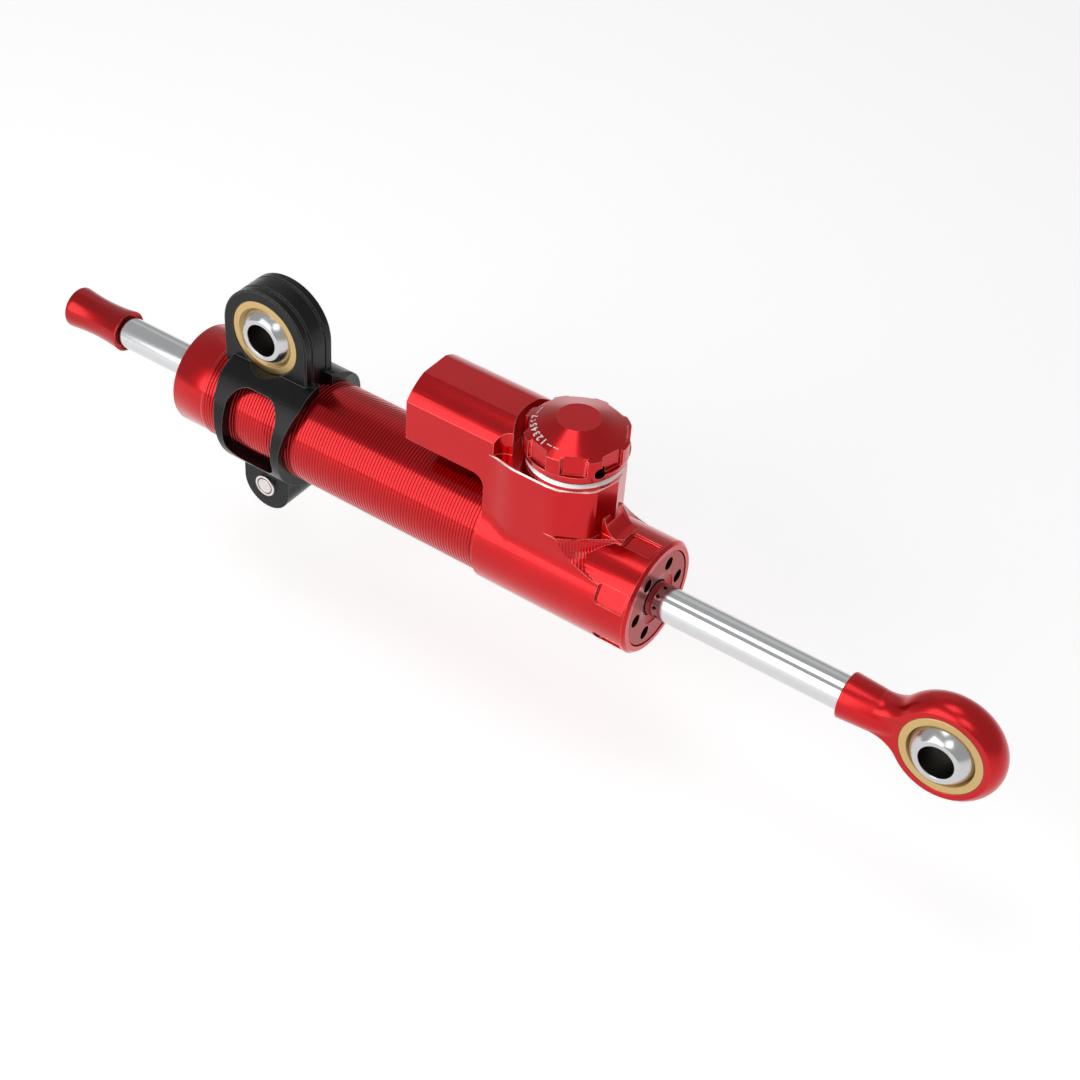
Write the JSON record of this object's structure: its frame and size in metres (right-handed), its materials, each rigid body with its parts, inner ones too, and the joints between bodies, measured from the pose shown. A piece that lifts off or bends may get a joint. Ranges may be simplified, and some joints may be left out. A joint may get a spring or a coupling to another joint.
{
  "type": "steering damper",
  "caption": "Through-rod hydraulic steering damper: red tube with valve head, side reservoir and stepped dial, black split clamp, and a spherical bearing at the clamp and at the rod end.",
  "frame": {"origin": "centre of the clamp's spherical bearing", "axes": "+X along the rod towards the rod end, +Y along both bearing bores, +Z from the rod up to the dial"},
  "size_m": [0.255, 0.0304, 0.0658],
  "materials": {
    "red_anodised": "red anodised, fine turned and milled",
    "black_anodised": "black anodised, satin",
    "hard_chrome": "ground and hard-chromed",
    "ball_steel": "polished bearing steel",
    "brass_race": "satin brass",
    "bare_aluminium": "machined",
    "ptfe_band": "filled slide-band plastic",
    "bronze_bush": "sintered bronze",
    "seal_rubber": "nitrile rubber",
    "valve_brass": "machined brass",
    "spring_steel": "bright steel",
    "dark_steel": "black oxide steel",
    "pin_steel": "polished stainless"
  },
  "bodies": {
    "housing": {"clamp_front": "black_anodised", "clamp_middle": "black_anodised", "clamp_pin": "pin_steel", "clamp_race": "brass_race", "clamp_rear": "black_anodised", "detent_spring": "spring_steel", "front_bush": "bronze_bush", "front_gland": "red_anodised", "front_oring": "seal_rubber", "front_seal": "seal_rubber", "front_wiper": "seal_rubber", "inner_sleeve": "bare_aluminium", "plug_clip": "spring_steel", "plug_seal": "seal_rubber", "rear_bush": "bronze_bush", "rear_gland": "red_anodised", "rear_oring": "seal_rubber", "rear_seal": "seal_rubber", "rear_wiper": "seal_rubber", "reservoir_plug": "black_anodised", "spindle_seal": "seal_rubber", "tube": "red_anodised", "valve_body": "valve_brass", "valve_head": "red_anodised", "valve_seat": "valve_brass", "valve_sleeve": "valve_brass"},
    "slide_band": {"piston_band": "ptfe_band"},
    "rod_group": {"rod": "hard_chrome", "piston": "bare_aluminium", "piston_clips": "spring_steel", "rod_end": "red_anodised", "rear_cap": "red_anodised", "rod_race": "brass_race"},
    "rod_end_ball": {"rod_ball": "ball_steel"},
    "clamp_eye_ball": {"clamp_ball": "ball_steel"},
    "dial_group": {"dial": "red_anodised", "dial_screw": "dark_steel", "spindle": "spring_steel"},
    "float_group": {"float_piston": "bare_aluminium", "float_seal": "seal_rubber"},
    "detent": {"detent_ball": "ball_steel"}
  },
  "joints": [
    {"name": "rod_slide", "type": "slide", "parent": "housing", "child": "slide_band", "axis": [1, 0, 0], "range_m": [-0.0462, 0.0252]},
    {"name": "rod_spin", "type": "hinge", "parent": "slide_band", "child": "rod_group", "pos_m": [0.052, 0, -0.0229], "axis": [1, 0, 0], "continuous": true},
    {"name": "rod_ball_swing", "type": "hinge", "parent": "rod_group", "child": "rod_end_ball", "pos_m": [0.1767, 0, -0.0229], "axis": [0, 1, 0], "continuous": true},
    {"name": "clamp_ball_swing", "type": "hinge", "parent": "housing", "child": "clamp_eye_ball", "pos_m": [0, 0, 0], "axis": [0, 1, 0], "continuous": true},
    {"name": "dial_turn", "type": "hinge", "parent": "housing", "child": "dial_group", "pos_m": [0.0826, 0, 0.006], "axis": [0, 0, 1], "range_deg": [-150, 150]},
    {"name": "float_slide", "type": "slide", "parent": "housing", "child": "float_group", "axis": [1, 0, 0], "range_m": [-0.004, 0.0045]},
    {"name": "detent_click", "type": "slide", "parent": "housing", "child": "detent", "axis": [0, 0, 1], "range_m": [0, 0.0002]}
  ]
}
